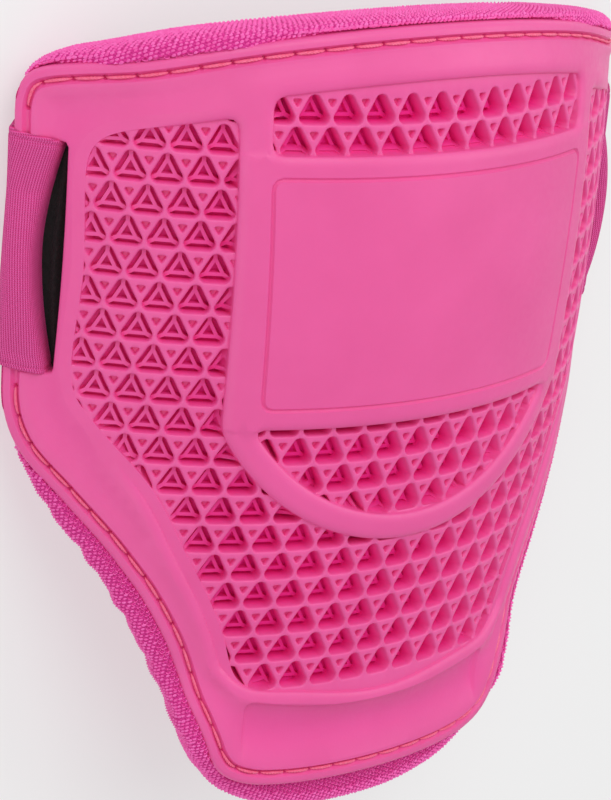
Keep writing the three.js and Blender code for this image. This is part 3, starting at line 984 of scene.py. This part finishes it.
def strap_line(half):
    """Middle of the strap from one slot along the table to the other, as (x, z)."""
    bar = 1000 * bend([(u, 0, h) for u, h in STRAP_BAR])
    right = [(x, half + rise) for x, rise in STRAP_LAID] + [(x, z) for x, _, z in bar]
    left = [(-x, z) for x, z in reversed(right[1:])]
    line = smooth_chain([*left, *right], 0.7)
    line[:, 1] = np.maximum(line[:, 1], half)
    return line


def strap_section(half):
    """Section of the strap as (v, height): two faces, sewn along each hem, and round edges."""
    v = np.linspace(STRAP.bottom + half, STRAP.top - half, 121)
    from_edge = np.minimum(v - STRAP.bottom, STRAP.top - v)
    face = half - STRAP_HEM.depth * np.exp(-((from_edge - STRAP_HEM.inset) / STRAP_HEM.width) ** 2)
    turn = np.linspace(math.pi / 2, -math.pi / 2, 7)[1:-1]
    top_edge = np.column_stack([v[-1] + half * np.cos(turn), half * np.sin(turn)])
    low_edge = np.column_stack([v[0] - half * np.cos(turn), -half * np.sin(turn)])
    return np.vstack([np.column_stack([v, face]), top_edge, np.column_stack([v, -face])[::-1], low_edge])


def strap_mesh():
    """The strap as points, faces and places on its cloth."""
    half = STRAP.thickness / 2
    line, section = strap_line(half), strap_section(half)
    reach = distances_along(line)
    along = unit(np.gradient(line, axis=0))
    side = np.column_stack([-along[:, 1], along[:, 0]])

    # Over the slot's bar the band bulges, and towards its top and bottom its end bows across the slot
    middle, reach_v = (STRAP.bottom + STRAP.top) / 2, (STRAP.top - STRAP.bottom) / 2
    level = (section[:, 0] - middle) / reach_v
    bow = STRAP_BOW.reach * np.abs(level) ** STRAP_BOW.power
    to_end = np.minimum(reach, reach[-1] - reach)
    bowed = (1 - smooth(to_end, *STRAP_BOW.fades))[:, None] * bow
    turned = SLOT.outer / ARC_RADIUS
    puff = STRAP_PUFF.height * (1 - ((section[:, 0] - STRAP_PUFF.at) / STRAP_PUFF.half) ** 2)
    over_bar = smooth(to_end, *STRAP_PUFF.rises) * (1 - smooth(to_end, *STRAP_PUFF.falls))
    puffed = over_bar[:, None] * np.maximum(puff, STRAP_PUFF.least)
    out = puffed * math.sin(turned) - bowed * math.cos(turned)
    x = line[:, :1] + side[:, :1] * section[:, 1] + np.sign(line[:, :1]) * out
    z = line[:, 1:] + side[:, 1:] * section[:, 1] + bowed * math.sin(turned) + puffed * math.cos(turned)
    y = section[:, 0] - np.interp(to_end, *zip(*STRAP_DROP))[:, None] * np.maximum(level, 0)
    y += STRAP_BOW.lift * smooth(to_end, *STRAP_BOW.lifts)[:, None] * np.maximum(-level, 0)
    z = z - smooth(np.abs(x), *STRAP_LIFT) * profile(y)
    places = np.stack([x, y, np.maximum(z, 0)], -1)
    points = 0.001 * (places - [0, V_MIDDLE, 0]).reshape(-1, 3)
    count = len(section)
    faces = grid_faces(len(line), count, wrapped=True)
    faces.append(list(range(count)))
    faces.append(list(range(len(points) - 1, len(points) - count - 1, -1)))
    steps = np.linalg.norm(np.diff(places, axis=0), axis=2)
    along_cloth = np.vstack([np.zeros(count), np.cumsum(steps, 0)])
    cloth = np.stack([along_cloth, y, np.zeros_like(x)], -1).reshape(-1, 3)
    return points, faces, cloth


def tab_mesh(side):
    """A hook tab: a plate with a soft fold that stands in its slot, rough all over its front."""
    rows, columns = TAB_GRID
    axes = np.linspace(TAB.inner, TAB.outer, columns), np.linspace(TAB.bottom, TAB.top, rows)
    u, v = (grid.ravel() for grid in np.meshgrid(*axes))
    middle, reach = (TAB.bottom + TAB.top) / 2, (TAB.top - TAB.bottom) / 2
    fold = TAB_FOLD.at - 0.5 * STRAP_BOW.reach * np.abs((v - middle) / reach) ** TAB_FOLD.power
    height = TAB.front + TAB_FOLD.height * np.exp(-((u - fold) / TAB_FOLD.width) ** 2)
    height -= TAB.rough * np.random.default_rng(11).random(len(u))
    front = np.column_stack([side * u, v, height])
    back = np.column_stack([side * u, v, np.full(len(u), TAB.front - TAB.thickness)])
    faces = grid_faces(*TAB_GRID) + [face[::-1] for face in grid_faces(*TAB_GRID, len(u))]
    number = np.arange(len(u)).reshape(TAB_GRID)
    rim = np.concatenate([number[0], number[1:, -1], number[-1, -2::-1], number[-2:0:-1, 0]])
    following = np.roll(rim, -1)
    faces += np.column_stack([rim, rim + len(u), following + len(u), following]).tolist()
    if side < 0:
        faces = [face[::-1] for face in faces]
    return bend(np.vstack([front, back])), faces


# Materials

def connect(tree, node, inputs):
    """Sets a node's inputs to values or links them to sockets."""
    for name, value in inputs.items():
        if isinstance(value, bpy.types.NodeSocket):
            tree.links.new(value, node.inputs[name])
        else:
            node.inputs[name].default_value = value


def add_node(tree, kind, inputs=None, **settings):
    node = tree.nodes.new(kind)
    for name, value in settings.items():
        setattr(node, name, value)
    connect(tree, node, inputs or {})
    return node


def math_node(tree, operation, *values):
    return add_node(tree, "ShaderNodeMath", dict(enumerate(values)), operation=operation).outputs[0]


def new_material(look):
    """A material named after the function that gives its shader's inputs."""
    material = bpy.data.materials.new(look.__name__)
    material.use_nodes = True
    tree = material.node_tree
    connect(tree, tree.nodes["Principled BSDF"], look(tree))
    return material


def noise(tree, scale, detail=3.0):
    place = add_node(tree, "ShaderNodeTexCoord").outputs["Object"]
    inputs = {"Vector": place, "Scale": scale, "Detail": detail}
    return add_node(tree, "ShaderNodeTexNoise", inputs).outputs["Fac"]


def field(tree, name, output="Fac"):
    """Named values at the points of a mesh."""
    return add_node(tree, "ShaderNodeAttribute", attribute_name=name).outputs[output]


def ramp(tree, factor, low, high, low_at=0.3, high_at=0.7):
    """Colours from low to high as a factor rises."""
    node = add_node(tree, "ShaderNodeValToRGB", {"Fac": factor})
    first, last = node.color_ramp.elements
    first.position, last.position = low_at, high_at
    first.color, last.color = (*low, 1), (*high, 1)
    return node.outputs["Color"]


def mixed(tree, factor, colour, other):
    """A colour that turns into another one as a factor rises, by the colour sockets of a mix node."""
    inputs = {0: factor, 6: colour, 7: (*other, 1)}
    return add_node(tree, "ShaderNodeMix", inputs, data_type="RGBA", clamp_factor=True).outputs[2]


def between(tree, factor, low, high):
    """Numbers from low to high as a factor goes from 0.3 to 0.7."""
    inputs = {"Value": factor, "From Min": 0.3, "From Max": 0.7, "To Min": low, "To Max": high}
    return add_node(tree, "ShaderNodeMapRange", inputs).outputs["Result"]


def bump(tree, height, distance, strength=1.0):
    inputs = {"Height": height, "Distance": distance, "Strength": strength}
    return add_node(tree, "ShaderNodeBump", inputs).outputs["Normal"]


def cloth_place(tree):
    """Flat coordinates on a cloth, in millimetres."""
    split = add_node(tree, "ShaderNodeSeparateXYZ", {0: field(tree, "flat", "Vector")})
    return split.outputs["X"], split.outputs["Y"]


def waves(tree, place, pitch, shift=0.0):
    """A sine along a place, one wave each pitch, moved on by a shift in radians."""
    angle = math_node(tree, "MULTIPLY_ADD", place, 2 * math.pi / pitch, shift)
    return math_node(tree, "SINE", angle)


def elastomer_with_painted_shade(tree):
    """Satin elastomer, with painted shade: a deeper, more saturated colour and less specular reflection in
    the pockets and the flange's hollow.
    """
    colour = ramp(tree, noise(tree, 70, 4), (0.85, 0.098, 0.35), (0.90, 0.11, 0.38))
    # Painted shade, from each point's depth in the pockets and the flange's hollow
    painted_shade = math_node(tree, "MULTIPLY", field(tree, "sunk"), 0.27)
    return {
        "Base Color": mixed(tree, painted_shade, colour, (0.97, 0.022, 0.36)),
        "Specular IOR Level": between(tree, painted_shade, 0.5, 0.12),
        "Roughness": between(tree, noise(tree, 900), 0.4, 0.52),
        "Normal": bump(tree, noise(tree, 2600, 2), 0.00004, 0.35),
        "Subsurface Weight": 0.1,
        "Subsurface Scale": 0.003,
        "Subsurface Radius": (1.0, 0.25, 0.45),
    }


def liner_cloth(tree):
    u, v = cloth_place(tree)
    lean = math_node(tree, "MULTIPLY_ADD", v, 2.5, noise(tree, 400))
    twill = math_node(tree, "MULTIPLY", waves(tree, u, YARN.along, lean), waves(tree, v, YARN.across))
    height = math_node(tree, "MULTIPLY_ADD", twill, 0.5, 0.5)
    return {
        # Colour of the twill, darker where it lies low: painted shade in the gaps between the yarns
        "Base Color": ramp(tree, height, (0.62, 0.012, 0.22), (0.82, 0.04, 0.34), 0.1, 0.9),
        "Normal": bump(tree, height, 0.0002),
        "Roughness": 0.9,
    }


def liner_yarn(tree):
    return {
        "Base Color": ramp(tree, field(tree, "tint"), (0.94, 0.1, 0.45), (1.0, 0.17, 0.57), 0, 1),
        "Roughness": between(tree, noise(tree, 1500), 0.6, 0.8),
        "Normal": bump(tree, noise(tree, 6000, 2), 0.00005, 0.6),
        "Sheen Weight": 0.05,
    }


def stitch_thread(tree):
    return {
        "Base Color": ramp(tree, noise(tree, 1800), (0.92, 0.11, 0.25), (1.0, 0.2, 0.37)),
        "Roughness": between(tree, noise(tree, 3000), 0.4, 0.6),
        "Normal": bump(tree, noise(tree, 9000, 2), 0.00003, 0.6),
        "Sheen Weight": 0.15,
    }


def elastic_webbing(tree):
    """Knitted elastic: ribs from hem to hem, each a row of leaning loops."""
    along, across = cloth_place(tree)
    rib = math_node(tree, "ABSOLUTE", waves(tree, along, 2 * WEBBING.rib))
    loop = waves(tree, across, WEBBING.loop, math_node(tree, "MULTIPLY", rib, 3.0))
    height = math_node(tree, "MULTIPLY_ADD", loop, 0.4, rib)
    return {
        "Base Color": ramp(tree, height, (0.82, 0.02, 0.21), (1.0, 0.15, 0.5), 0, 1),
        "Roughness": between(tree, noise(tree, 1500), 0.65, 0.85),
        "Normal": bump(tree, height, 0.00016),
        "Specular IOR Level": 0.2,
    }


def hook_and_loop(tree):
    return {
        "Base Color": ramp(tree, noise(tree, 2400), (0.004, 0.0035, 0.004), (0.014, 0.011, 0.012)),
        "Roughness": between(tree, noise(tree, 1200), 0.75, 0.95),
        "Normal": bump(tree, noise(tree, 3500), 0.0003),
        "Sheen Weight": 0.12,
        "Sheen Tint": (0.3, 0.28, 0.29, 1),
    }


def pale_floor(tree):
    return {
        "Base Color": ramp(tree, noise(tree, 6), (0.395, 0.395, 0.395), (0.405, 0.405, 0.405)),
        "Roughness": 1.0,
        "Specular IOR Level": 0,
        "Emission Color": (1, 1, 1, 1),
        "Emission Strength": 0.5,
    }


# Objects

def applied(obj, kind, **settings):
    """Puts one modifier's result in place of an object's mesh."""
    modifier = obj.modifiers.new(kind.lower(), kind)
    for name, value in settings.items():
        setattr(modifier, name, value)
    evaluated = obj.evaluated_get(bpy.context.evaluated_depsgraph_get())
    mesh = bpy.data.meshes.new_from_object(evaluated)
    obj.modifiers.clear()
    before = obj.data
    obj.data = mesh
    bpy.data.meshes.remove(before)
    mesh.name = obj.name


def mesh_object(name, points, faces, look, welded=False, fields=None):
    """A smooth mesh object with sharp edges above an angle and with named values at its points."""
    mesh = bpy.data.meshes.new(name)
    mesh.from_pydata(np.asarray(points).tolist(), [], [list(face) for face in faces])
    for label, values in (fields or {}).items():
        values = np.asarray(values, float)
        wide = values.ndim == 2
        attribute = mesh.attributes.new(label, "FLOAT_VECTOR" if wide else "FLOAT", "POINT")
        attribute.data.foreach_set("vector" if wide else "value", values.ravel())
    mesh.materials.append(new_material(look))
    obj = bpy.data.objects.new(name, mesh)
    bpy.context.scene.collection.objects.link(obj)
    if welded:
        applied(obj, "WELD", merge_threshold=0.000002)
    obj.data.shade_smooth()
    obj.data.set_sharp_from_angle(angle=math.radians(SHARP_EDGE))
    return obj


def place(obj, slot, *nodes):
    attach(obj, "root")
    if nodes:
        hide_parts(*nodes)


# Camera and stage

def add_camera():
    camera = bpy.data.objects.new("camera", bpy.data.cameras.new("camera"))
    camera.data.lens = CAMERA.lens
    camera.data.sensor_width = 36
    camera.data.clip_start = 0.01
    camera.location = CAMERA.place
    camera.rotation_euler = [math.radians(angle) for angle in CAMERA.turn]
    bpy.context.scene.collection.objects.link(camera)
    bpy.context.scene.camera = camera


def add_floor():
    size = 20
    points = [(-size, -size, 0), (size, -size, 0), (size, size, 0), (-size, size, 0)]
    mesh_object("floor", points, [(0, 1, 2, 3)], pale_floor)


def add_light(name, direction, distance, size, power):
    lamp = bpy.data.lights.new(name, "AREA")
    lamp.size = size
    lamp.energy = power
    obj = bpy.data.objects.new(name, lamp)
    towards = Vector(direction).normalized()
    obj.location = Vector((0, 0, 0.03)) + distance * towards
    obj.rotation_euler = towards.to_track_quat("Z", "Y").to_euler()
    bpy.context.scene.collection.objects.link(obj)


def add_lights():
    scene = bpy.context.scene
    scene.view_settings.view_transform = "Standard"
    scene.world = bpy.data.worlds.new("studio")
    scene.world.use_nodes = True
    background = scene.world.node_tree.nodes["Background"]
    background.inputs["Color"].default_value = (1, 1, 1, 1)
    background.inputs["Strength"].default_value = WORLD_LIGHT
    for light in LIGHTS:
        add_light(*light)


loops = shell_loops()
outline = liner_outline()

shell_points, shell_faces, shell_painted_shade = shell_mesh(loops)
# The shell's depths in pockets and hollows, which set its painted shade
fields = {"sunk": shell_painted_shade}
shell = mesh_object("moulded_shell", shell_points, shell_faces, elastomer_with_painted_shade, welded=True, fields=fields)
place(shell, "shell", "shell")
stitching = mesh_object("stitching", *stitch_mesh(loops), stitch_thread)
place(stitching, "liner")

pad = liner_pad(outline, loops)
place(pad, "liner", "liner")
yarn_points, yarn_faces, yarn_tint = weave_mesh(pad, outline, loops)
weave = mesh_object("liner_weave", yarn_points, yarn_faces, liner_yarn, fields={"tint": yarn_tint})
place(weave, "liner")

strap_points, strap_faces, strap_cloth = strap_mesh()
fields = {"flat": strap_cloth}
strap = mesh_object("elastic_strap", strap_points, strap_faces, elastic_webbing, fields=fields)
place(strap, "strap", "strap")
for side, node in ((-1, "hook_tab_left"), (1, "hook_tab_right")):
    tab = mesh_object("rough_" + node, *tab_mesh(side), hook_and_loop)
    place(tab, "hook_tab", node)

add_camera()
add_floor()
add_lights()
